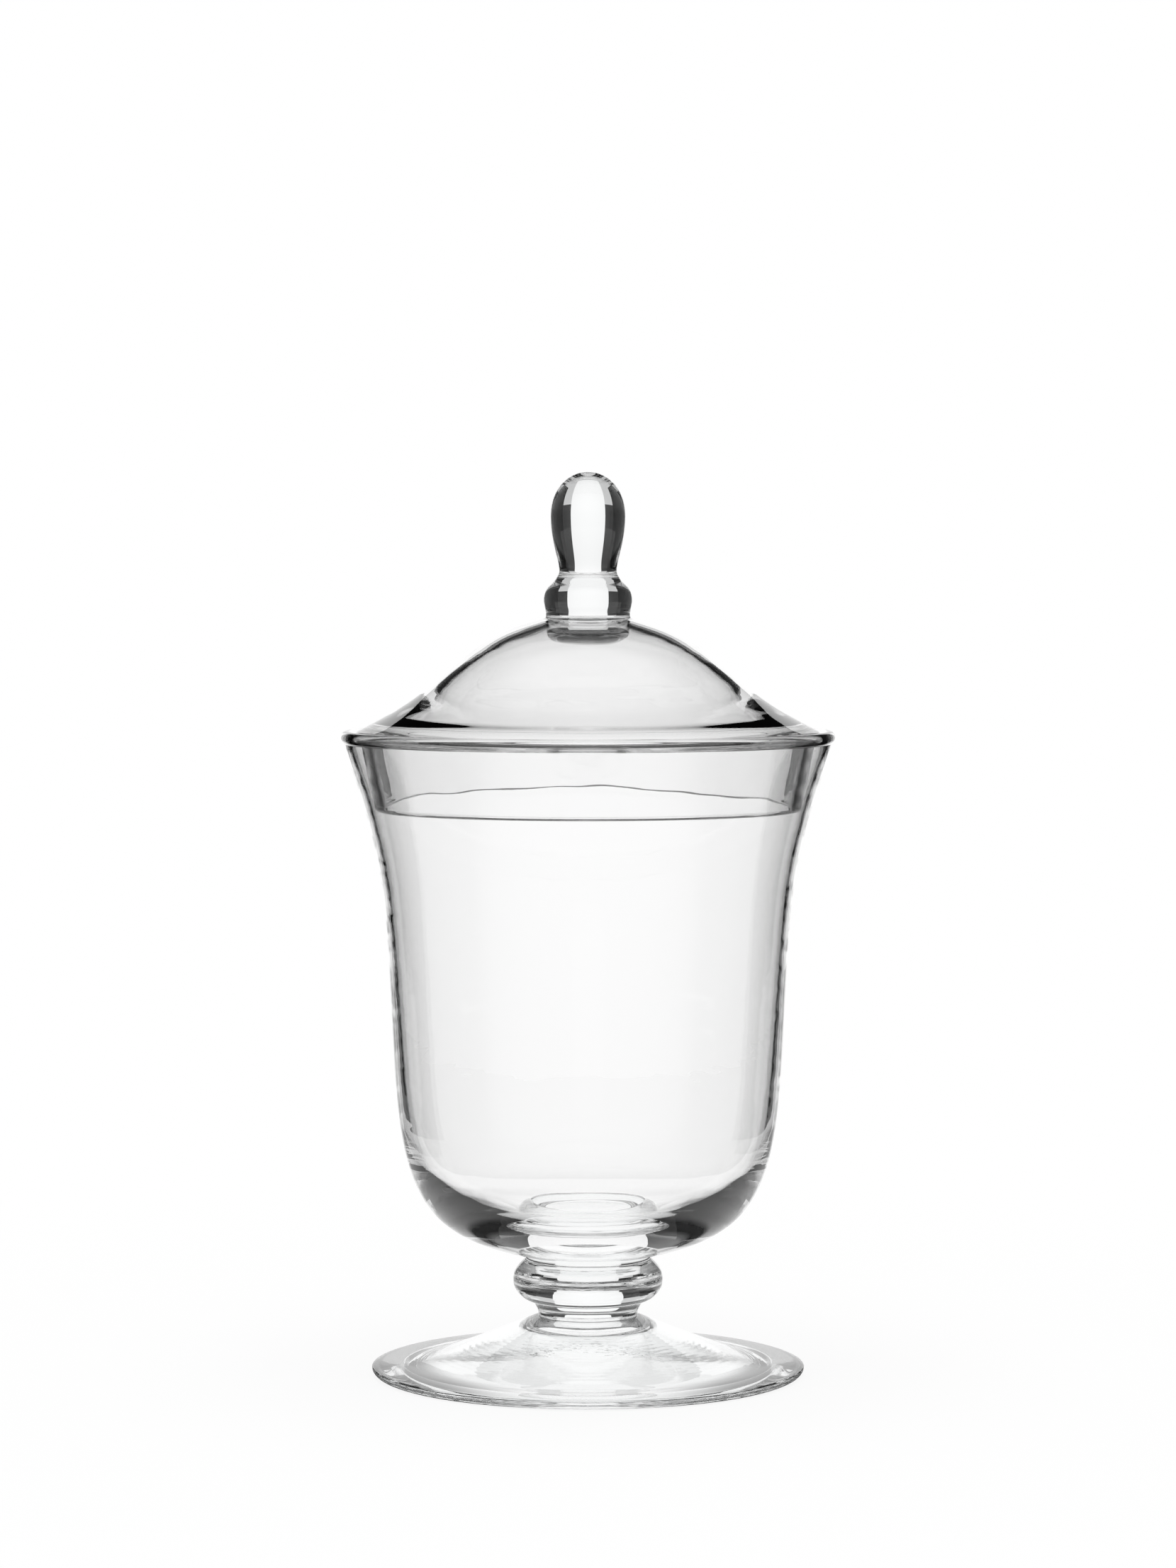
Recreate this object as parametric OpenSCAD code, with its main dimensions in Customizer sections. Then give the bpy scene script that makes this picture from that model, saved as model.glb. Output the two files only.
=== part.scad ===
// Footed apothecary jar of clear hand-made glass, with a lift-off lid and a solid finial.
// Every piece is turned about the Z axis. The origin is the centre of the foot on the table.
// Sizes are in millimetres. A point is [radius, height].

/* [Foot] */
// Radius of the foot at its widest
foot_r = 67.2; // [60:0.1:80]
// Height of the foot, from the table to the stem
foot_h = 18.3; // [16:0.1:26]
// Thickness of the foot near its rim
foot_edge_h = 3.9; // [3.2:0.1:5]
// Height of the widest line of the rim
foot_edge_mid = 2.4; // [1.2:0.1:2.8]
// How far the rim overhangs the ring that rests on the table
foot_edge_under = 3; // [2:0.1:6]
// Width of the nearly flat shelf round the cone of the foot
foot_shelf_w = 12; // [8:0.5:16]
// Width of the flat ring that rests on the table
foot_rest_w = 7; // [4:0.1:10]
// Height of the hollow under the foot, at its centre
foot_hollow_h = 13.2; // [9:0.1:13.4]
// Radius of the nearly flat top of that hollow, under the stem
foot_hollow_top_r = 21; // [17:0.5:24]
// Thickness of the glass between the cone and the hollow
foot_plate = 3.5; // [2.8:0.1:4.5]

/* [Stem] */
// Radius of the stem where it joins the foot
neck_r = 15.5; // [12:0.1:18]
// Height of the waist under the knop
neck_h = 4.8; // [3.5:0.1:7]
// Radius of the knop at its widest
knop_r = 23.3; // [21:0.1:30]
// Height of the whole stem, from the foot to the bowl
stem_h = 18.9; // [16:0.1:28]
// Radius of the stem where it joins the bowl
stem_top_r = 19.2; // [16:0.1:20.5]

/* [Bowl] */
// Height of the bowl, from the stem to the rim
bowl_h = 162.9; // [140:0.1:220]
// Radius of the bowl at its lower, rounded heel
heel_r = 47.7; // [44:0.1:52]
// Height of the heel above the stem
heel_h = 12.9; // [10:0.1:18]
// Radius of the bowl where the flare of the mouth begins
waist_r = 62.6; // [59:0.1:66]
// Height of that place above the stem
waist_h = 104.3; // [90:0.1:115]
// Radius of the rim, over its bead
rim_r = 76.6; // [73:0.1:84]
// Radius of the round bead along the rim
bead_r = 2.05; // [1.6:0.05:2.6]
// Thickness of the wall of the bowl
wall = 2.2; // [1.6:0.1:3]
// Height of the inside of the heel above its outside
heel_wall = 9; // [6:0.1:10]
// Thickness of the glass at the middle of the floor
base_wall = 10.5; // [8:0.1:11.5]

/* [Lid] */
// Height of the dome, from the underside of its brim to the finial
dome_h = 37.8; // [34:0.1:50]
// Radius of the dome where its cap turns into its flare
dome_mid_r = 37.7; // [34:0.1:42]
// Height of that place above the underside of the brim
dome_mid_h = 26; // [22:0.1:28]
// Thickness of the wall of the dome
dome_wall = 3.4; // [2.6:0.1:4]
// Thickness of the rounded brim
brim_t = 3; // [2.4:0.1:4]
// Gap between the brim and the bead of the rim
brim_gap = 0.6; // [0.4:0.1:1.5]
// Depth of the underside of the brim below the top of the rim
lid_sink = 2.9; // [2:0.1:5]
// Radius of the thick boss under the crown of the dome
boss_r = 12.9; // [10:0.1:14]
// Thickness of the glass at the middle of the crown, down to the foot of the boss
boss_t = 8; // [6.5:0.1:10]
// Height of the skirt that centres the lid in the mouth
skirt_h = 21.4; // [14:0.1:28]
// Thickness of the skirt
skirt_wall = 3; // [2.2:0.1:4]
// Gap between the foot of the skirt and the wall of the bowl
fit_gap = 0.3; // [0.3:0.05:0.8]

/* [Finial] */
// Radius of the collar where it joins the dome
collar_foot_r = 13.2; // [11:0.1:14]
// Radius of the collar at its widest
collar_r = 13.7; // [13:0.1:17]
// Height of the collar
collar_h = 12.8; // [10:0.1:18]
// Radius of the crease between the collar and the knob
crease_r = 9.5; // [8.5:0.1:10.5]
// Radius of the knob at its widest
knob_r = 11.55; // [10.6:0.05:15]
// Height of the knob
knob_h = 32.2; // [26:0.1:42]

/* [Quality] */
// Straight steps in each curve of an outline
curve_steps = 16; // [8:1:24]
// Straight steps in the round of the rim and in that of the brim
arc_steps = 10; // [6:1:16]

/* [Hidden] */
bowl_glass = [0.80, 0.88, 0.90, 0.55];
lid_glass = [0.86, 0.92, 0.93, 0.55];
solid_glass = [0.70, 0.82, 0.85, 0.75];
$fn = 96;

// Heights where one piece meets the next, from the table up
stem_z = foot_h;
bowl_z = stem_z + stem_h;
rim_z = bowl_z + bowl_h;
brim_z = rim_z - lid_sink;
skirt_z = brim_z - skirt_h;
dome_top_z = brim_z + dome_h;
knob_z = dome_top_z + collar_h;
top_z = knob_z + knob_h;

// Directions that an outline runs in
up = [0, 1];
down = [0, -1];
out = [1, 0];
in = [-1, 0];
heel_dir = [0.9, 1];
inner_heel_dir = [1, 1.22];
waist_dir = [0.08, 1];
mouth_dir = [0.16, 1];
cap_dir = [1, -0.28];
dome_mid_dir = [1, -0.83];
brim_dir = [1, -0.52];

// Places that two curves or two pieces share
heel = [heel_r, bowl_z + heel_h];
waist = [waist_r, bowl_z + waist_h];
dome_mid = [dome_mid_r, brim_z + dome_mid_h];
inner_heel = heel + [0, heel_wall];
inner_waist = waist - [wall, 0];
inner_dome_mid = dome_mid - dome_wall * left_of(dome_mid_dir);
bead_at = [rim_r - bead_r, rim_z - bead_r];
brim_r = rim_r - 2 * bead_r - brim_gap;
brim_at = [brim_r - brim_t / 2, brim_z + brim_t / 2];
skirt_top_r = brim_at.x;
skirt_top_inner_r = skirt_top_r - skirt_wall;

// Unit vector along a direction
function unit(v) = v / norm(v);

// Unit vector a quarter turn to the left of a direction
function left_of(v) = unit([-v.y, v.x]);

// Point of a cubic curve, for t from 0 to 1
function curve_point(a, b, c, d, t) =
    pow(1 - t, 3) * a + 3 * pow(1 - t, 2) * t * b + 3 * (1 - t) * t * t * c + pow(t, 3) * d;

// Smooth curve from one point to another, leaving along one direction and arriving along the
// other. Each pull says how long the curve holds that direction, as a share of the distance.
// The last point is left out, because what comes next starts there.
function curve(from, leaving, to, arriving, pull) =
    let (
        distance = norm(to - from),
        b = from + pull[0] * distance * unit(leaving),
        c = to - pull[1] * distance * unit(arriving))
    [for (i = [0:curve_steps - 1]) curve_point(from, b, c, to, i / curve_steps)];

// Round about a centre, from one angle to another
function arc(centre, r, from, to) =
    [for (i = [0:arc_steps])
        let (angle = from + (to - from) * i / arc_steps)
        centre + r * [cos(angle), sin(angle)]];

function reversed(points) = [for (i = [len(points) - 1:-1:0]) points[i]];

// The bead of the rim leaves the wall on two sides, as far apart as the wall is thick
bead_half_angle = asin(wall / 2 / bead_r);
bead_down_angle = -90 - atan(mouth_dir.x);
bead = arc(
    bead_at,
    bead_r,
    bead_down_angle + bead_half_angle,
    bead_down_angle - bead_half_angle + 360);
outer_bead_foot = bead[0];
inner_bead_foot = bead[arc_steps];

// Inner wall of the mouth, and the radius there that the foot of the skirt fits
inner_flare = curve(inner_waist, waist_dir, inner_bead_foot, mouth_dir, [0.51, 0.11]);
inner_flare_by_height = [for (p = concat(inner_flare, [inner_bead_foot])) [p.y, p.x]];
skirt_foot_r = lookup(skirt_z + skirt_wall / 2, inner_flare_by_height) - fit_gap;

// Solid of revolution of a closed outline
module turned(outline) {
    rotate_extrude()
        polygon(outline);
}

module foot() {
    rest_outer = [foot_r - foot_edge_under, 0];
    rest_inner = rest_outer - [foot_rest_w, 0];
    rim = [foot_r, foot_edge_mid];
    shelf = [foot_r - foot_shelf_w, foot_edge_h];
    neck = [neck_r, foot_h];
    cone_slope = 0.4;
    hollow_dir = [1, -cone_slope];
    hollow_shoulder = [
        foot_hollow_top_r,
        foot_h - cone_slope * (foot_hollow_top_r - neck_r) - foot_plate * norm(hollow_dir)];
    hollow_top = curve([0, foot_hollow_h], out, hollow_shoulder, hollow_dir, [0.6, 0.2]);
    hollow_side = curve(hollow_shoulder, hollow_dir, rest_inner, [1, -0.3], [0.3, 0.3]);
    edge_low = curve(rest_outer, out, rim, up, [0.5, 0.28]);
    edge_high = curve(rim, up, shelf, in, [0.06, 0.5]);
    cone = curve(shelf, in, neck, [-1, cone_slope], [0.16, 0.15]);
    hollow = concat(hollow_top, hollow_side, [rest_inner]);
    color(bowl_glass)
        turned(concat(hollow, edge_low, edge_high, cone, [neck, [0, foot_h]]));
}

module stem_knop() {
    foot_joint = [neck_r, stem_z];
    bowl_joint = [stem_top_r, bowl_z];
    shoulder = [neck_r + 0.4 * (knop_r - neck_r), stem_z + neck_h];
    shoulder_dir = [1, 0.28];
    widest = [knop_r, shoulder.y + 0.436 * (bowl_z - shoulder.y)];
    neck = curve(foot_joint, up, shoulder, shoulder_dir, [0.21, 0.46]);
    lower = curve(shoulder, shoulder_dir, widest, up, [0.22, 0.45]);
    upper = curve(widest, up, bowl_joint, up, [0.53, 0.25]);
    color(solid_glass)
        turned(concat([[0, stem_z]], neck, lower, upper, [bowl_joint, [0, bowl_z]]));
}

module bowl() {
    joint = [stem_top_r, bowl_z];
    floor_middle = [0, bowl_z + base_wall];
    belly = curve(joint, [1, 0.2], heel, heel_dir, [0.23, 0.36]);
    side = curve(heel, heel_dir, waist, waist_dir, [0.23, 0.485]);
    flare = curve(waist, waist_dir, outer_bead_foot, mouth_dir, [0.51, 0.11]);
    inner_floor = curve(floor_middle, out, inner_heel, inner_heel_dir, [0.7, 0.2]);
    inner_side = curve(inner_heel, inner_heel_dir, inner_waist, waist_dir, [0.19, 0.65]);
    inner = concat(inner_floor, inner_side, inner_flare);
    color(bowl_glass)
        turned(concat([[0, bowl_z]], belly, side, flare, bead, reversed(inner)));
}

module lid_dome() {
    joint = [collar_foot_r, dome_top_z];
    brim = arc(brim_at, brim_t / 2, 90 + atan(brim_dir.y / brim_dir.x), -90);
    inner_brim = [skirt_top_inner_r, brim_z];
    boss_edge = [boss_r, dome_top_z - dome_wall];
    boss_foot = [0, dome_top_z - boss_t];
    cap = curve(joint, cap_dir, dome_mid, dome_mid_dir, [0.38, 0.4]);
    flare = curve(dome_mid, dome_mid_dir, brim[0], brim_dir, [0.52, 0.49]);
    inner_rise = curve(inner_brim, [-1, 0.54], inner_dome_mid, -dome_mid_dir, [0.5, 0.45]);
    inner_cap = curve(inner_dome_mid, -dome_mid_dir, boss_edge, -cap_dir, [0.4, 0.38]);
    boss = curve(boss_edge, down, boss_foot, in, [0.24, 0.66]);
    color(lid_glass)
        turned(concat(
            [[0, dome_top_z]], cap, flare, brim, inner_rise, inner_cap, boss, [boss_foot]));
}

module lid_skirt() {
    lip_r = skirt_wall / 2;
    lip = arc([skirt_foot_r - lip_r, skirt_z + lip_r], lip_r, 180, 360);
    color(lid_glass)
        turned(concat([[skirt_top_r, brim_z], [skirt_top_inner_r, brim_z]], lip));
}

module finial_collar() {
    dome_joint = [collar_foot_r, dome_top_z];
    knob_joint = [crease_r, knob_z];
    widest = [collar_r, dome_top_z + 0.41 * collar_h];
    lower = curve(dome_joint, [-0.33, 1], widest, up, [0.3, 0.24]);
    upper = curve(widest, up, knob_joint, [-0.41, 1], [0.56, 0.35]);
    color(solid_glass)
        turned(concat([[0, dome_top_z]], lower, upper, [knob_joint, [0, knob_z]]));
}

module finial_knob() {
    joint = [crease_r, knob_z];
    widest = [knob_r, knob_z + 0.575 * knob_h];
    top = [0, top_z];
    side = curve(joint, [-0.86, 1], widest, up, [0.17, 0.53]);
    crown = curve(widest, up, top, in, [0.485, 0.335]);
    color(solid_glass)
        turned(concat([[0, knob_z]], side, crown, [top]));
}

foot();
stem_knop();
bowl();
lid_dome();
lid_skirt();
finial_collar();
finial_knob();
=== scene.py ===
import math

import bpy
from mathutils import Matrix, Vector


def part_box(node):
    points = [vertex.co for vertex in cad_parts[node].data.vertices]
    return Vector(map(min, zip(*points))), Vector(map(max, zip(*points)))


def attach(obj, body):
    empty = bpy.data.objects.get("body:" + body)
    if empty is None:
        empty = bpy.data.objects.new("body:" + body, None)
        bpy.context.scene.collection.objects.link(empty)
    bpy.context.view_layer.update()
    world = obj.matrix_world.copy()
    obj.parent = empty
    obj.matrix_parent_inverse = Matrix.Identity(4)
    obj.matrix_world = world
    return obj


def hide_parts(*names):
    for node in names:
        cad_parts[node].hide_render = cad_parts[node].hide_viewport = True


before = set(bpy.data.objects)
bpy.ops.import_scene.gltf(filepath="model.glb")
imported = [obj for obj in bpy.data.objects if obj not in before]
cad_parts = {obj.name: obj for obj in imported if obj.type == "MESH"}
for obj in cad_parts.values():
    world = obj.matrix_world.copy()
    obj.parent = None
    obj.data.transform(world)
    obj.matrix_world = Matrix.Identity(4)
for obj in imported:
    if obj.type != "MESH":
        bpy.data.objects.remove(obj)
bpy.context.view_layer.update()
print("frame loaded:", ", ".join(sorted(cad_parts)))

millimetre = 0.001
spinSteps = 240


def linearColour(hexText):
    channels = [int(hexText[i:i + 2], 16) / 255 for i in (1, 3, 5)]
    linear = [c / 12.92 if c < 0.04045 else ((c + 0.055) / 1.055) ** 2.4 for c in channels]
    return (*linear, 1.0)


def addNode(tree, kind, settings=None, links=None):
    # a setting is one of the node's own properties or the value of one of its sockets
    node = tree.nodes.new(kind)
    for name, value in (settings or {}).items():
        if isinstance(name, str) and hasattr(node, name):
            setattr(node, name, value)
        else:
            node.inputs[name].default_value = value
    for name, source in (links or {}).items():
        tree.links.new(source, node.inputs[name])
    return node


def startMaterial(name):
    material = bpy.data.materials.new(name)
    material.use_nodes = True
    material.node_tree.nodes.clear()
    return material, material.node_tree


def bend(start, leaving, end, arriving, pulls):
    # a curved stroke: it leaves along one direction and arrives along another, and each pull says
    # how long it holds that direction, as a share of the distance
    start, end = Vector(start), Vector(end)
    reach = (end - start).length
    leave = start + pulls[0] * reach * Vector(leaving).normalized()
    arrive = end - pulls[1] * reach * Vector(arriving).normalized()
    return [[start, leave, arrive, end]]


def straight(start, end):
    start, end = Vector(start), Vector(end)
    return [[start, start.lerp(end, 1 / 3), start.lerp(end, 2 / 3), end]]


def roundOff(centre, radius, fromAngle, toAngle, parts):
    # part of a circle, as a few curved strokes; angles in degrees
    strokes = []
    step = math.radians(toAngle - fromAngle) / parts
    handle = radius * 4 / 3 * math.tan(step / 4)
    for i in range(parts):
        ends = []
        for angle in (math.radians(fromAngle) + step * i, math.radians(fromAngle) + step * (i + 1)):
            spoke = Vector((math.cos(angle), math.sin(angle)))
            ends.append((Vector(centre) + radius * spoke, handle * Vector((-spoke.y, spoke.x))))
        (a, turnA), (b, turnB) = ends
        strokes.append([a, a + turnA, b - turnB, b])
    return strokes


def latheOutline(name, strokes, rungs=20):
    # draws half of the outline as a Bezier curve in the XZ plane, and spins it round the Z axis
    bpy.ops.object.select_all(action="DESELECT")
    bpy.ops.curve.primitive_bezier_curve_add(location=(0, 0, 0))
    piece = bpy.context.object
    piece.name = piece.data.name = name
    spline = piece.data.splines[0]
    spline.bezier_points.add(len(strokes) - 1)
    for point in spline.bezier_points:
        point.handle_left_type = point.handle_right_type = "FREE"
    for i, stroke in enumerate(strokes):
        here, there = spline.bezier_points[i], spline.bezier_points[i + 1]
        corners = [Vector((p.x, 0, p.y)) * millimetre for p in stroke]
        here.co, here.handle_right, there.handle_left, there.co = corners
    spline.bezier_points[0].handle_left = spline.bezier_points[0].co
    spline.bezier_points[-1].handle_right = spline.bezier_points[-1].co
    piece.data.resolution_u = spline.resolution_u = rungs
    bpy.ops.object.convert(target="MESH")
    bpy.ops.object.mode_set(mode="EDIT")
    bpy.ops.mesh.select_all(action="SELECT")
    bpy.ops.mesh.spin(steps=spinSteps, angle=2 * math.pi, center=(0, 0, 0), axis=(0, 0, 1))
    bpy.ops.mesh.select_all(action="SELECT")
    bpy.ops.mesh.remove_doubles(threshold=0.001 * millimetre)
    bpy.ops.mesh.normals_make_consistent(inside=False)
    bpy.ops.object.mode_set(mode="OBJECT")
    bpy.ops.object.shade_smooth_by_angle(angle=math.radians(24))
    return piece


def finishPiece(piece, body, node, glass, joints=()):
    # joints are the flat faces that were fused hot: (height, inner radius, outer radius) in mm
    piece.data.materials.clear()
    piece.data.materials.append(glass)
    piece.data.materials.append(fusedJoint)
    slack = 0.01 * millimetre
    for face in piece.data.polygons:
        corners = [piece.data.vertices[i].co for i in face.vertices]
        for height, inner, outer in joints:
            level = all(abs(c.z - height * millimetre) < slack for c in corners)
            radii = [math.hypot(c.x, c.y) for c in corners]
            within = (min(radii) > inner * millimetre - slack
                      and max(radii) < outer * millimetre + slack)
            if level and within:
                face.material_index = 1
    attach(piece, body)
    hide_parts(node)
    print(node, "made,", len(piece.data.polygons), "faces")


# Soda-lime glass, colourless. Thick solid parts take a little more light than blown walls.
glassLook = {
    "ior": 1.52,
    "blownTint": "#FEFEFE",
    "solidTint": "#FBFCFC",
    "waveMm": 20.0,  # width of the slow unevenness that blowing leaves
    "waveStretch": 4.0,  # how much lower than wide it is, since the gather turned as it cooled
    "blownWaveDepthMm": 0.06,
    "solidWaveDepthMm": 0.03,
    "tooledWaveDepthMm": 0.05,
    "ringMm": 0.7,  # spacing of the fine rings that the tool leaves as the gather turns
    "tooledRingDepthMm": 0.004,
}


def makeGlass(name, tint, waveDepthMm, ringDepthMm):
    # fire-polished soda-lime glass: clear and sharp, with slow waves of hand work that bend what is
    # seen through it a little, and faint rings round the axis
    material, tree = startMaterial(name)
    place = addNode(tree, "ShaderNodeTexCoord").outputs["Object"]
    level = addNode(tree, "ShaderNodeMapping", {"Scale": (1, 1, glassLook["waveStretch"])}, {
        "Vector": place})
    slow = addNode(tree, "ShaderNodeTexNoise", {
        "Scale": 1 / (glassLook["waveMm"] * millimetre), "Detail": 1.0, "Roughness": 0.4,
    }, {"Vector": level.outputs[0]})
    rings = addNode(tree, "ShaderNodeTexWave", {
        "wave_type": "BANDS", "bands_direction": "Z",
        # the wave turns through 20 radians a metre at scale 1
        "Scale": 2 * math.pi / (20 * glassLook["ringMm"] * millimetre),
        "Distortion": 2.5, "Detail": 2.0, "Detail Scale": 0.6,
    }, {"Vector": place})
    waveBump = addNode(tree, "ShaderNodeBump", {
        "Strength": 1.0, "Distance": waveDepthMm * millimetre,
    }, {"Height": slow.outputs["Fac"]})
    ringBump = addNode(tree, "ShaderNodeBump", {
        "Strength": 1.0, "Distance": ringDepthMm * millimetre,
    }, {"Height": rings.outputs["Fac"], "Normal": waveBump.outputs["Normal"]})
    shader = addNode(tree, "ShaderNodeBsdfPrincipled", {
        "Base Color": linearColour(tint), "Roughness": 0.0, "IOR": glassLook["ior"],
        "Transmission Weight": 1.0,
    }, {"Normal": ringBump.outputs["Normal"]})
    addNode(tree, "ShaderNodeOutputMaterial", {}, {"Surface": shader.outputs["BSDF"]})
    return material


def makeFusedJoint():
    # inside a hot joint there is only glass, so nothing is seen there
    material, tree = startMaterial("fused_joint")
    clear = addNode(tree, "ShaderNodeBsdfTransparent")
    addNode(tree, "ShaderNodeOutputMaterial", {}, {"Surface": clear.outputs["BSDF"]})
    return material


fusedJoint = makeFusedJoint()
blownGlass = makeGlass("blown_glass_clear", glassLook["blownTint"],
                       glassLook["blownWaveDepthMm"], 0.0)
solidGlass = makeGlass("solid_glass_clear", glassLook["solidTint"],
                       glassLook["solidWaveDepthMm"], 0.0)
tooledGlass = makeGlass("tooled_glass_clear", glassLook["solidTint"],
                        glassLook["tooledWaveDepthMm"], glassLook["tooledRingDepthMm"])
print("glass ready")

# Heights where one piece meets the next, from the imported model. They and all shapes are in mm.
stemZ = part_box("stem_knop")[0].z / millimetre
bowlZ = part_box("bowl")[0].z / millimetre
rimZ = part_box("bowl")[1].z / millimetre
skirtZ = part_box("lid_skirt")[0].z / millimetre
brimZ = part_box("lid_skirt")[1].z / millimetre
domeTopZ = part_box("finial_collar")[0].z / millimetre
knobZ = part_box("finial_knob")[0].z / millimetre
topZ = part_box("finial_knob")[1].z / millimetre

# directions in which a stroke runs, as seen in the XZ plane
up, down, outward, inward = (0, 1), (0, -1), (1, 0), (-1, 0)


def back(way):
    return (-way[0], -way[1])


footShape = {
    "radius": 67.2,
    "edgeHeight": 3.9,
    "edgeMiddle": 2.4,  # height at which the edge is widest
    "edgeUnder": 3.0,  # how far inside the edge the resting ring starts
    "shelfWidth": 12.0,  # nearly level part behind the edge
    "restWidth": 7.0,
    "hollowHeight": 13.2,
    "hollowTopRadius": 21.0,
    "plate": 3.5,  # thickness of the cone
    "neckRadius": 15.5,
}


def makeFoot(shape):
    restOuter = (shape["radius"] - shape["edgeUnder"], 0)
    restInner = (restOuter[0] - shape["restWidth"], 0)
    rim = (shape["radius"], shape["edgeMiddle"])
    shelf = (shape["radius"] - shape["shelfWidth"], shape["edgeHeight"])
    neck = (shape["neckRadius"], stemZ)
    coneWay = Vector((1, -0.4))
    shoulder = (shape["hollowTopRadius"],
                stemZ + (shape["hollowTopRadius"] - neck[0]) * coneWay.y / coneWay.x
                - shape["plate"] * coneWay.length)
    strokes = bend((0, shape["hollowHeight"]), outward, shoulder, coneWay, (0.6, 0.2))
    strokes += bend(shoulder, coneWay, restInner, (1, -0.3), (0.3, 0.3))
    strokes += straight(restInner, restOuter)
    strokes += bend(restOuter, outward, rim, up, (0.5, 0.28))
    strokes += bend(rim, up, shelf, inward, (0.06, 0.5))
    strokes += bend(shelf, inward, neck, back(coneWay), (0.16, 0.15))
    strokes += straight(neck, (0, stemZ))
    piece = latheOutline("foot_glass", strokes)
    finishPiece(piece, "jar", "foot", tooledGlass, [(stemZ, 0, neck[0])])


makeFoot(footShape)

stemShape = {
    "neckRadius": 15.5,
    "neckHeight": 4.8,
    "knopRadius": 23.3,
    "topRadius": 19.2,
}


def makeStem(shape):
    footJoint = (shape["neckRadius"], stemZ)
    bowlJoint = (shape["topRadius"], bowlZ)
    shoulder = (
        shape["neckRadius"] + 0.4 * (shape["knopRadius"] - shape["neckRadius"]),
        stemZ + shape["neckHeight"])
    shoulderWay = (1, 0.28)
    widest = (shape["knopRadius"], shoulder[1] + 0.436 * (bowlZ - shoulder[1]))
    strokes = straight((0, stemZ), footJoint)
    strokes += bend(footJoint, up, shoulder, shoulderWay, (0.21, 0.46))
    strokes += bend(shoulder, shoulderWay, widest, up, (0.22, 0.45))
    strokes += bend(widest, up, bowlJoint, up, (0.53, 0.25))
    strokes += straight(bowlJoint, (0, bowlZ))
    piece = latheOutline("stem_glass", strokes)
    joints = [(stemZ, 0, footJoint[0]), (bowlZ, 0, bowlJoint[0])]
    finishPiece(piece, "jar", "stem_knop", tooledGlass, joints)


makeStem(stemShape)

bowlShape = {
    "heelRadius": 47.7,
    "heelHeight": 12.9,
    "waistRadius": 62.6,
    "waistHeight": 104.3,
    "rimRadius": 76.6,
    "beadRadius": 2.05,
    "wall": 2.2,
    "heelWall": 9.0,
    "floorThickness": 10.5,
}


def makeBowl(shape):
    joint = (stemShape["topRadius"], bowlZ)
    heelWay, innerHeelWay = (0.9, 1), (1, 1.22)
    waistWay, mouthWay = (0.08, 1), (0.16, 1)
    heel = Vector((shape["heelRadius"], bowlZ + shape["heelHeight"]))
    waist = Vector((shape["waistRadius"], bowlZ + shape["waistHeight"]))
    innerHeel = heel + Vector((0, shape["heelWall"]))
    innerWaist = waist - Vector((shape["wall"], 0))
    floorMiddle = (0, bowlZ + shape["floorThickness"])
    bead = shape["beadRadius"]
    beadCentre = (shape["rimRadius"] - bead, rimZ - bead)
    halfGap = math.degrees(math.asin(shape["wall"] / 2 / bead))
    downwards = -90 - math.degrees(math.atan(mouthWay[0]))
    beadRound = roundOff(beadCentre, bead, downwards + halfGap, downwards - halfGap + 360, 4)
    outerBeadFoot, innerBeadFoot = beadRound[0][0], beadRound[-1][-1]
    strokes = straight((0, bowlZ), joint)
    strokes += bend(joint, (1, 0.2), heel, heelWay, (0.23, 0.36))
    strokes += bend(heel, heelWay, waist, waistWay, (0.23, 0.485))
    strokes += bend(waist, waistWay, outerBeadFoot, mouthWay, (0.51, 0.11))
    strokes += beadRound
    # the inside runs back down, so its strokes are drawn the other way round
    strokes += bend(innerBeadFoot, back(mouthWay), innerWaist, back(waistWay), (0.11, 0.51))
    strokes += bend(innerWaist, back(waistWay), innerHeel, back(innerHeelWay), (0.65, 0.19))
    strokes += bend(innerHeel, back(innerHeelWay), floorMiddle, inward, (0.2, 0.7))
    piece = latheOutline("bowl_glass", strokes, rungs=24)
    finishPiece(piece, "jar", "bowl", blownGlass, [(bowlZ, 0, joint[0])])


makeBowl(bowlShape)

# the dome with its brim, and the skirt that hangs in the mouth
lidShape = {
    "middleRadius": 37.7,
    "middleHeight": 26.0,
    "wall": 3.4,
    "brimRadius": 71.9,
    "brimThickness": 3.0,
    "bossRadius": 12.9,
    "bossThickness": 8.0,
    "fillet": 7.6,  # width of the steeper rise between the inside of the skirt and the dome
    "filletRise": 0.7,  # height of that rise, as a share of its width
    "skirtWall": 3.0,
    "skirtFootRadius": 66.41,
    "lipTurns": (0, 38, 64, 90, 117, 142, 180, 360),  # degrees round the axis, 90 is the back
    "lipLifts": (0, 1.3, 2.6, 4.6, 3.6, 2.2, 0, 0),  # mm above the lowest part of the lip
    "lipZone": 16.0,  # the lift fades out over this height
    "collarFootRadius": 13.2,
}


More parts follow.
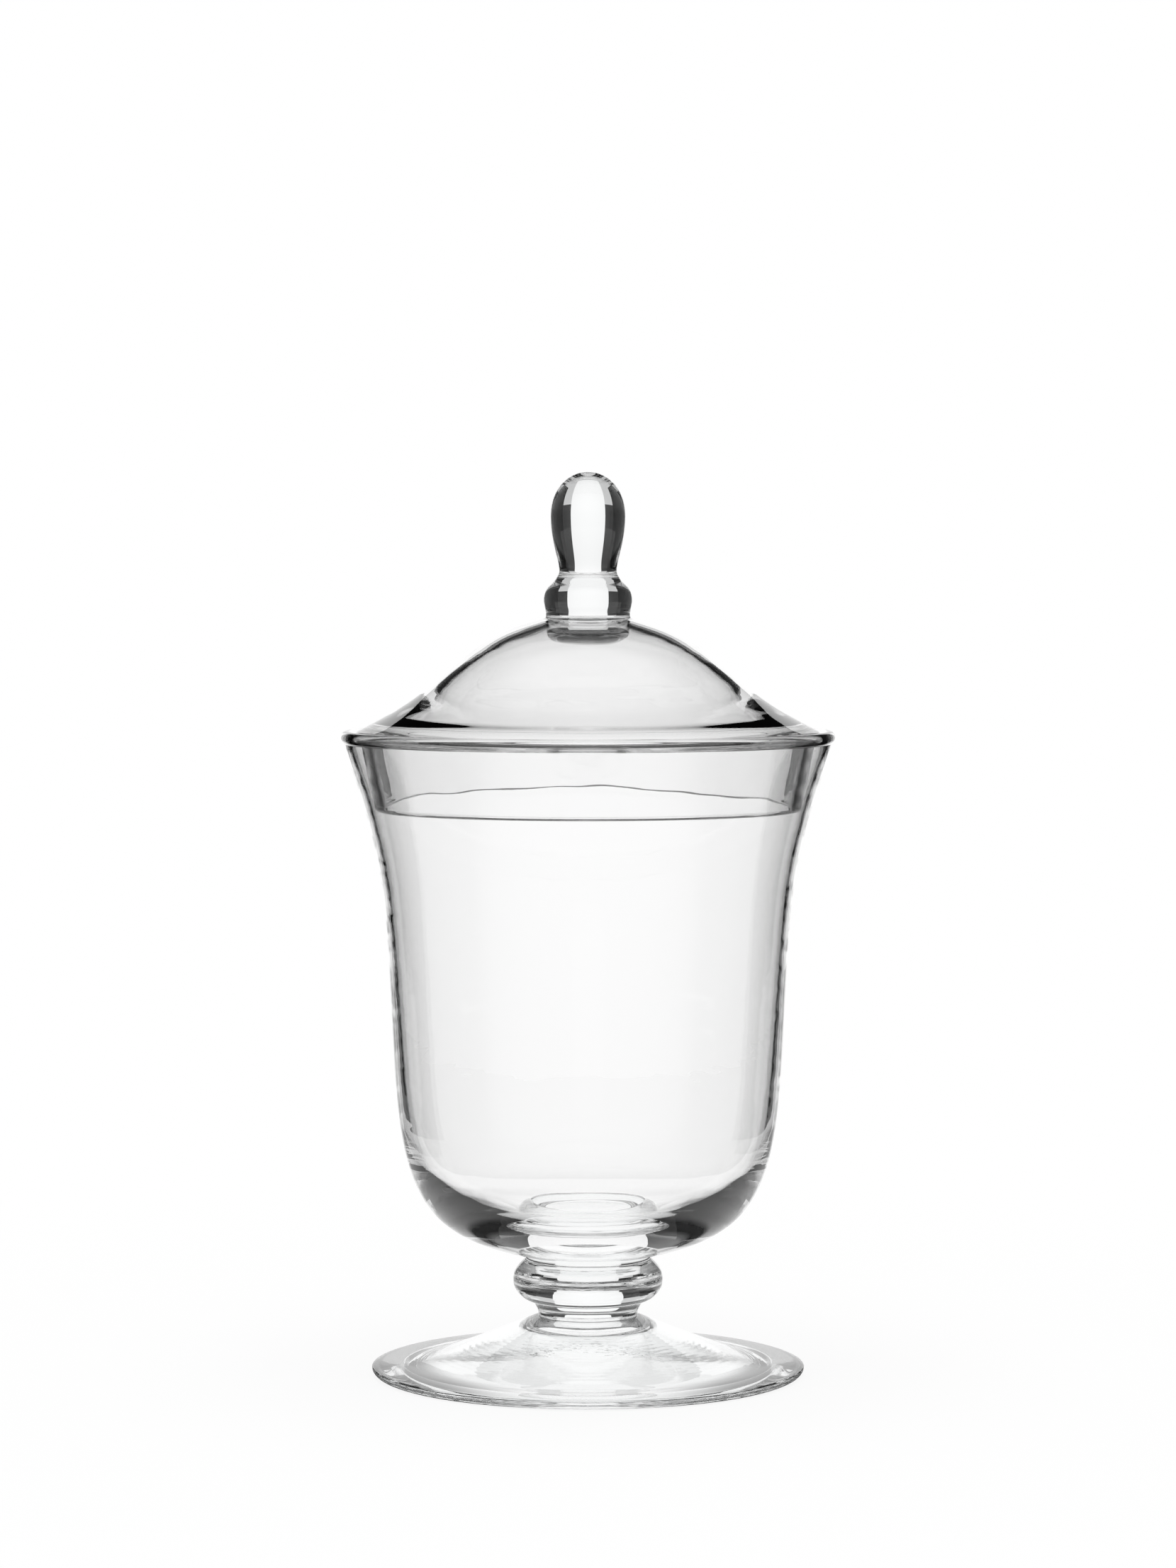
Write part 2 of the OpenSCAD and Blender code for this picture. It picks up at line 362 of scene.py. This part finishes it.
def makeDome(shape):
    joint = (shape["collarFootRadius"], domeTopZ)
    capWay, middleWay, brimWay = (1, -0.28), (1, -0.83), (1, -0.52)
    middle = Vector((shape["middleRadius"], brimZ + shape["middleHeight"]))
    outOfGlass = Vector((-middleWay[1], middleWay[0])).normalized()
    innerMiddle = middle - shape["wall"] * outOfGlass
    half = shape["brimThickness"] / 2
    brimCentre = (shape["brimRadius"] - half, brimZ + half)
    brimTurn = math.degrees(math.atan(brimWay[1] / brimWay[0]))
    brim = roundOff(brimCentre, half, 90 + brimTurn, -90, 2)
    skirtInner = (brimCentre[0] - shape["skirtWall"], brimZ)
    bossEdge = (shape["bossRadius"], domeTopZ - shape["wall"])
    bossFoot = (0, domeTopZ - shape["bossThickness"])
    riseWay = (-1, 0.53)
    filletEnd = (skirtInner[0] - shape["fillet"], brimZ + shape["filletRise"] * shape["fillet"])
    strokes = straight((0, domeTopZ), joint)
    strokes += bend(joint, capWay, middle, middleWay, (0.38, 0.4))
    strokes += bend(middle, middleWay, brim[0][0], brimWay, (0.52, 0.49))
    strokes += brim
    strokes += straight((brimCentre[0], brimZ), skirtInner)
    strokes += bend(skirtInner, up, filletEnd, riseWay, (0.3, 0.4))
    strokes += bend(filletEnd, riseWay, innerMiddle, back(middleWay), (0.5, 0.45))
    strokes += bend(innerMiddle, back(middleWay), bossEdge, back(capWay), (0.4, 0.38))
    strokes += bend(bossEdge, down, bossFoot, inward, (0.24, 0.66))
    piece = latheOutline("lid_dome_glass", strokes)
    joints = [(domeTopZ, 0, joint[0]), (brimZ, skirtInner[0], brimCentre[0])]
    finishPiece(piece, "lid", "lid_dome", blownGlass, joints)


def raiseLip(piece, shape):
    # the lip was cut by hand, so it stands higher at the back of the lid, and unevenly
    turns, lifts = shape["lipTurns"], shape["lipLifts"]
    for vertex in piece.data.vertices:
        height = vertex.co.z / millimetre - skirtZ
        if height < shape["lipZone"]:
            turn = math.degrees(math.atan2(vertex.co.y, vertex.co.x)) % 360
            i = max(k for k, t in enumerate(turns[:-1]) if t <= turn)
            share = (turn - turns[i]) / (turns[i + 1] - turns[i])
            share = share * share * (3 - 2 * share)
            lift = lifts[i] + share * (lifts[i + 1] - lifts[i])
            fade = 1 - height / shape["lipZone"]
            vertex.co.z += lift * fade * millimetre


def makeSkirt(shape):
    outerTop = (shape["brimRadius"] - shape["brimThickness"] / 2, brimZ)
    innerTop = (outerTop[0] - shape["skirtWall"], brimZ)
    lip = shape["skirtWall"] / 2
    lipCentre = (shape["skirtFootRadius"] - lip, skirtZ + lip)
    lipRound = roundOff(lipCentre, lip, 180, 360, 2)
    strokes = straight(outerTop, innerTop)
    strokes += straight(innerTop, lipRound[0][0])
    strokes += lipRound
    strokes += straight(lipRound[-1][-1], outerTop)
    piece = latheOutline("lid_skirt_glass", strokes)
    raiseLip(piece, shape)
    finishPiece(piece, "lid", "lid_skirt", blownGlass,
                [(brimZ, innerTop[0], outerTop[0])])


makeDome(lidShape)
makeSkirt(lidShape)

finialShape = {
    "collarRadius": 13.7,
    "creaseRadius": 9.5,
    "knobRadius": 11.55,
}


def makeCollar(shape):
    domeJoint = (lidShape["collarFootRadius"], domeTopZ)
    knobJoint = (shape["creaseRadius"], knobZ)
    widest = (shape["collarRadius"], domeTopZ + 0.41 * (knobZ - domeTopZ))
    strokes = straight((0, domeTopZ), domeJoint)
    strokes += bend(domeJoint, (-0.33, 1), widest, up, (0.3, 0.24))
    strokes += bend(widest, up, knobJoint, (-0.41, 1), (0.56, 0.35))
    strokes += straight(knobJoint, (0, knobZ))
    piece = latheOutline("finial_collar_glass", strokes)
    joints = [(domeTopZ, 0, domeJoint[0]), (knobZ, 0, knobJoint[0])]
    finishPiece(piece, "lid", "finial_collar", solidGlass, joints)


def makeKnob(shape):
    joint = (shape["creaseRadius"], knobZ)
    widest = (shape["knobRadius"], knobZ + 0.575 * (topZ - knobZ))
    strokes = straight((0, knobZ), joint)
    strokes += bend(joint, (-0.86, 1), widest, up, (0.17, 0.53))
    strokes += bend(widest, up, (0, topZ), inward, (0.485, 0.335))
    piece = latheOutline("finial_knob_glass", strokes, rungs=40)
    finishPiece(piece, "lid", "finial_knob", solidGlass, [(knobZ, 0, joint[0])])


makeCollar(finialShape)
makeKnob(finialShape)

# at the photograph's distance and height, in metres
cameraSetup = {
    "distance": 1.450,
    "height": 0.253,
    "pitch": 2.744,  # degrees below level
    "lens": 107.6,  # mm
}


def makeCamera(setup):
    data = bpy.data.cameras.new("camera")
    data.sensor_width = 36
    data.lens = setup["lens"]
    data.clip_start, data.clip_end = 0.05, 20
    camera = bpy.data.objects.new("camera", data)
    bpy.context.scene.collection.objects.link(camera)
    camera.location = (0, -setup["distance"], setup["height"])
    camera.rotation_euler = (math.radians(90 - setup["pitch"]), 0, 0)
    bpy.context.scene.camera = camera
    return camera


camera = makeCamera(cameraSetup)
print("camera placed")

# Pale floor, a white paper behind the jar and black cards beside it, which draw the dark edges.
# Lengths are in metres.
studio = {
    "floorRadius": 1.6,
    "floorDrop": 0.00005,  # keeps the floor just clear of the foot
    "floorColour": "#E6E6E6",
    "floorGlow": 0.9,  # how much of the floor's white doesn't wait for the lamp, near the jar
    "floorGlowNear": 0.1,
    "floorGlowFar": 0.45,  # from here on the floor is as white as the room
    "tableWhiteNear": 0.11,  # between these the table turns from white to partly polished
    "tableWhiteFar": 0.2,
    "tableMirror": 0.4,  # share of the far table that mirrors, the rest stays white
    "tablePolish": 0.05,  # roughness of that mirror, and how white it is
    "tablePolishWhite": 0.98,
    "shadeRadius": 0.062,  # middle of the painted shade under the foot's edge
    "shadeCore": 0.005,  # and how far to either side it is full, and ends
    "shadeEnd": 0.018,
    "shadeAside": 0.012,  # it starts this far to the left and right, and is full from the next on
    "shadeFull": 0.045,
    "shadeWhite": 0.1,  # white that is left in it
    "paperWhite": 1.04,  # seen through the glass, which takes a tenth of it
    "paperEdge": 0.92,
    "paperReach": 0.6,  # distance from its middle at which it has fallen to that
    "paperDistance": 0.75,  # behind the jar
    "paperHalfWidth": 0.26,
    "paperUp": 0.36,
    "paperDown": 0.35,
    "cardColour": "#0A0A0A",
    "cardAside": 0.235,  # just outside the picture
    "cardNear": 0.03,  # behind the jar, where each card starts and ends
    "cardFar": 0.39,
    "frontWhite": 0.65,  # wall behind the camera, which the glass mirrors, and how it falls off
    "frontHalfWidth": 6.0,
    "frontDistance": 0.1,  # behind the camera
    "roomSides": 0.03,  # sides of the room as the glass sees them, and how steeply up they end
    "roomSidesUp": (0.12, 0.4),
    "roomDark": "#141414",
    "roomLight": "#D8D8D8",
    "lampPlace": (0, -0.1, 1.5),
    "lampSize": 1.0,
    "lampWatts": 14,
}


def makeFloor(setup):
    bpy.ops.object.select_all(action="DESELECT")
    bpy.ops.mesh.primitive_circle_add(vertices=96, radius=setup["floorRadius"], fill_type="NGON",
                                      location=(0, 0, -setup["floorDrop"]))
    floor = bpy.context.object
    floor.name = "floor"
    material, tree = startMaterial("white_table")
    plain = addNode(tree, "ShaderNodeBsdfDiffuse", {"Color": linearColour(setup["floorColour"])})
    place = addNode(tree, "ShaderNodeTexCoord").outputs["Object"]
    away = addNode(tree, "ShaderNodeVectorMath", {"operation": "LENGTH"}, {0: place})
    fromJar = away.outputs["Value"]
    path = addNode(tree, "ShaderNodeLightPath")
    # what the camera sees itself is white, with the jar's shadow left in it
    glow = addNode(tree, "ShaderNodeMapRange", {
        "From Min": setup["floorGlowNear"], "From Max": setup["floorGlowFar"],
        "To Min": setup["floorGlow"], "To Max": 1.0,
    }, {"Value": fromJar})
    share = addNode(tree, "ShaderNodeMath", {"operation": "MULTIPLY"}, {
        0: path.outputs["Is Camera Ray"], 1: glow.outputs["Result"]})
    white = addNode(tree, "ShaderNodeEmission", {"Color": (1, 1, 1, 1), "Strength": 1.0})
    direct = addNode(tree, "ShaderNodeMixShader", {}, {
        0: share.outputs[0], 1: plain.outputs[0], 2: white.outputs[0]})
    # painted shade: under the edge of the foot, to the left and right, the white that the glass
    # sees on the table is turned down, so that the foot shows a shadow there
    across = addNode(tree, "ShaderNodeSeparateXYZ", {}, {"Vector": place}).outputs["X"]
    sideways = addNode(tree, "ShaderNodeMath", {"operation": "ABSOLUTE"}, {0: across})
    aside = addNode(tree, "ShaderNodeMapRange", {
        "interpolation_type": "SMOOTHSTEP",
        "From Min": setup["shadeAside"], "From Max": setup["shadeFull"],
    }, {"Value": sideways.outputs[0]})
    fromEdge = addNode(tree, "ShaderNodeMath", {"operation": "SUBTRACT", 1: setup["shadeRadius"]}, {
        0: fromJar})
    offEdge = addNode(tree, "ShaderNodeMath", {"operation": "ABSOLUTE"}, {0: fromEdge.outputs[0]})
    underEdge = addNode(tree, "ShaderNodeMapRange", {
        "interpolation_type": "SMOOTHSTEP",
        "From Min": setup["shadeCore"], "From Max": setup["shadeEnd"], "To Min": 1.0, "To Max": 0.0,
    }, {"Value": offEdge.outputs[0]})
    paintedShade = addNode(tree, "ShaderNodeMath", {"operation": "MULTIPLY"}, {
        0: aside.outputs["Result"], 1: underEdge.outputs["Result"]})
    fade = addNode(tree, "ShaderNodeMapRange", {"To Min": 1.0, "To Max": setup["shadeWhite"]}, {
        "Value": paintedShade.outputs[0]})
    near = addNode(tree, "ShaderNodeEmission", {"Color": (1, 1, 1, 1)}, {
        "Strength": fade.outputs["Result"]})
    # glass shows it white near the jar, and further out polished, so that it mirrors the paper
    mirrored = setup["tablePolishWhite"]
    polish = addNode(tree, "ShaderNodeBsdfGlossy", {
        "Color": (mirrored, mirrored, mirrored, 1), "Roughness": setup["tablePolish"]})
    sheen = addNode(tree, "ShaderNodeMapRange", {
        "interpolation_type": "SMOOTHSTEP",
        "From Min": setup["tableWhiteNear"], "From Max": setup["tableWhiteFar"],
    }, {"Value": fromJar})
    far = addNode(tree, "ShaderNodeMixShader", {0: setup["tableMirror"]}, {
        1: white.outputs[0], 2: polish.outputs[0]})
    shown = addNode(tree, "ShaderNodeMixShader", {}, {
        0: sheen.outputs["Result"], 1: near.outputs[0], 2: far.outputs[0]})
    glance = addNode(tree, "ShaderNodeMath", {"operation": "MAXIMUM"}, {
        0: path.outputs["Is Glossy Ray"], 1: path.outputs["Is Transmission Ray"]})
    mix = addNode(tree, "ShaderNodeMixShader", {}, {
        0: glance.outputs[0], 1: direct.outputs[0], 2: shown.outputs[0]})
    addNode(tree, "ShaderNodeOutputMaterial", {}, {"Surface": mix.outputs[0]})
    floor.data.materials.append(material)


def makeGlow(name, middleZ, reach, white, edgeWhite):
    # a lit surface that falls off evenly round a point on the camera's axis
    material, tree = startMaterial(name)
    place = addNode(tree, "ShaderNodeTexCoord").outputs["Object"]
    middle = addNode(tree, "ShaderNodeMapping", {"Location": (0, 0, -middleZ)}, {"Vector": place})
    fromMiddle = addNode(tree, "ShaderNodeVectorMath", {"operation": "LENGTH"}, {
        0: middle.outputs[0]})
    falloff = addNode(tree, "ShaderNodeMapRange", {
        "interpolation_type": "SMOOTHSTEP",
        "From Min": 0.0, "From Max": reach, "To Min": white, "To Max": edgeWhite,
    }, {"Value": fromMiddle.outputs["Value"]})
    glow = addNode(tree, "ShaderNodeEmission", {"Color": (1, 1, 1, 1)}, {
        "Strength": falloff.outputs["Result"]})
    addNode(tree, "ShaderNodeOutputMaterial", {}, {"Surface": glow.outputs[0]})
    return material


def addCard(name, corners, material):
    # a flat card that stands with the camera, its corners given in the camera's own space
    mesh = bpy.data.meshes.new(name)
    mesh.from_pydata(corners, [], [(0, 1, 2, 3)])
    mesh.materials.append(material)
    card = bpy.data.objects.new(name, mesh)
    bpy.context.scene.collection.objects.link(card)
    card.parent = camera
    card.visible_diffuse = card.visible_shadow = False  # only the glass sees it
    return card


def makeCards(setup):
    paperZ = -(cameraSetup["distance"] + setup["paperDistance"])
    side, top, bottom = setup["paperHalfWidth"], setup["paperUp"], -setup["paperDown"]
    white = makeGlow("lit_white_paper", paperZ, setup["paperReach"],
                     setup["paperWhite"], setup["paperEdge"])
    corners = [(-side, bottom, paperZ), (side, bottom, paperZ), (side, top, paperZ),
               (-side, top, paperZ)]
    paper = addCard("paper_behind", corners, white)
    paper.visible_camera = False  # the camera itself sees the white room there

    black, tree = startMaterial("black_card")
    matt = addNode(tree, "ShaderNodeBsdfDiffuse", {"Color": linearColour(setup["cardColour"])})
    addNode(tree, "ShaderNodeOutputMaterial", {}, {"Surface": matt.outputs[0]})
    rear = -(cameraSetup["distance"] + setup["cardFar"])
    front = -(cameraSetup["distance"] + setup["cardNear"])
    for name, x in (("card_left", -setup["cardAside"]), ("card_right", setup["cardAside"])):
        corners = [(x, bottom, rear), (x, bottom, front), (x, top, front), (x, top, rear)]
        addCard(name, corners, black)

    side, wallZ = setup["frontHalfWidth"], setup["frontDistance"]
    soft = makeGlow("soft_front_wall", 0, side, setup["frontWhite"], 0.0)
    corners = [(-side, -side, wallZ), (side, -side, wallZ), (side, side, wallZ),
               (-side, side, wallZ)]
    addCard("wall_in_front", corners, soft)


def makeWorld(setup):
    world = bpy.data.worlds.new("studio")
    world.use_nodes = True
    tree = world.node_tree
    tree.nodes.clear()
    path = addNode(tree, "ShaderNodeLightPath")
    glance = addNode(tree, "ShaderNodeMath", {"operation": "MAXIMUM"}, {
        0: path.outputs["Is Glossy Ray"], 1: path.outputs["Is Transmission Ray"]})
    way = addNode(tree, "ShaderNodeTexCoord").outputs["Generated"]
    rise = addNode(tree, "ShaderNodeSeparateXYZ", {}, {"Vector": way}).outputs["Z"]
    wall = addNode(tree, "ShaderNodeMapRange", {
        "interpolation_type": "SMOOTHSTEP",
        "From Min": setup["roomSidesUp"][0], "From Max": setup["roomSidesUp"][1],
        "To Min": setup["roomSides"], "To Max": linearColour(setup["roomDark"])[0],
    }, {"Value": rise})
    shade = addNode(tree, "ShaderNodeMix", {
        "data_type": "RGBA", "A": linearColour(setup["roomLight"]),
    }, {"Factor": glance.outputs[0], "B": wall.outputs["Result"]})
    room = addNode(tree, "ShaderNodeBackground", {"Strength": 1.0}, {
        "Color": shade.outputs["Result"]})
    white = addNode(tree, "ShaderNodeBackground", {"Color": (1, 1, 1, 1), "Strength": 1.0})
    mix = addNode(tree, "ShaderNodeMixShader", {}, {
        0: path.outputs["Is Camera Ray"], 1: room.outputs[0], 2: white.outputs[0]})
    addNode(tree, "ShaderNodeOutputWorld", {}, {"Surface": mix.outputs[0]})
    bpy.context.scene.world = world


def makeLamp(setup):
    # soft light from above, which gives the floor the shadow of the jar
    data = bpy.data.lights.new("lamp_above", "AREA")
    data.size, data.energy = setup["lampSize"], setup["lampWatts"]
    lamp = bpy.data.objects.new("lamp_above", data)
    lamp.location = setup["lampPlace"]
    towardsJar = Vector((0, 0, 0.1)) - Vector(setup["lampPlace"])
    lamp.rotation_euler = towardsJar.to_track_quat("-Z", "Y").to_euler()
    lamp.visible_glossy = lamp.visible_transmission = False  # or the dome mirrors its square
    bpy.context.scene.collection.objects.link(lamp)


makeFloor(studio)
makeCards(studio)
makeWorld(studio)
makeLamp(studio)
print("studio ready")

# light has to cross many faces of glass
scene = bpy.context.scene
scene.cycles.max_bounces = 40
scene.cycles.transmission_bounces = 40
scene.cycles.glossy_bounces = 24
scene.cycles.transparent_max_bounces = 40
scene.view_settings.view_transform = "Standard"
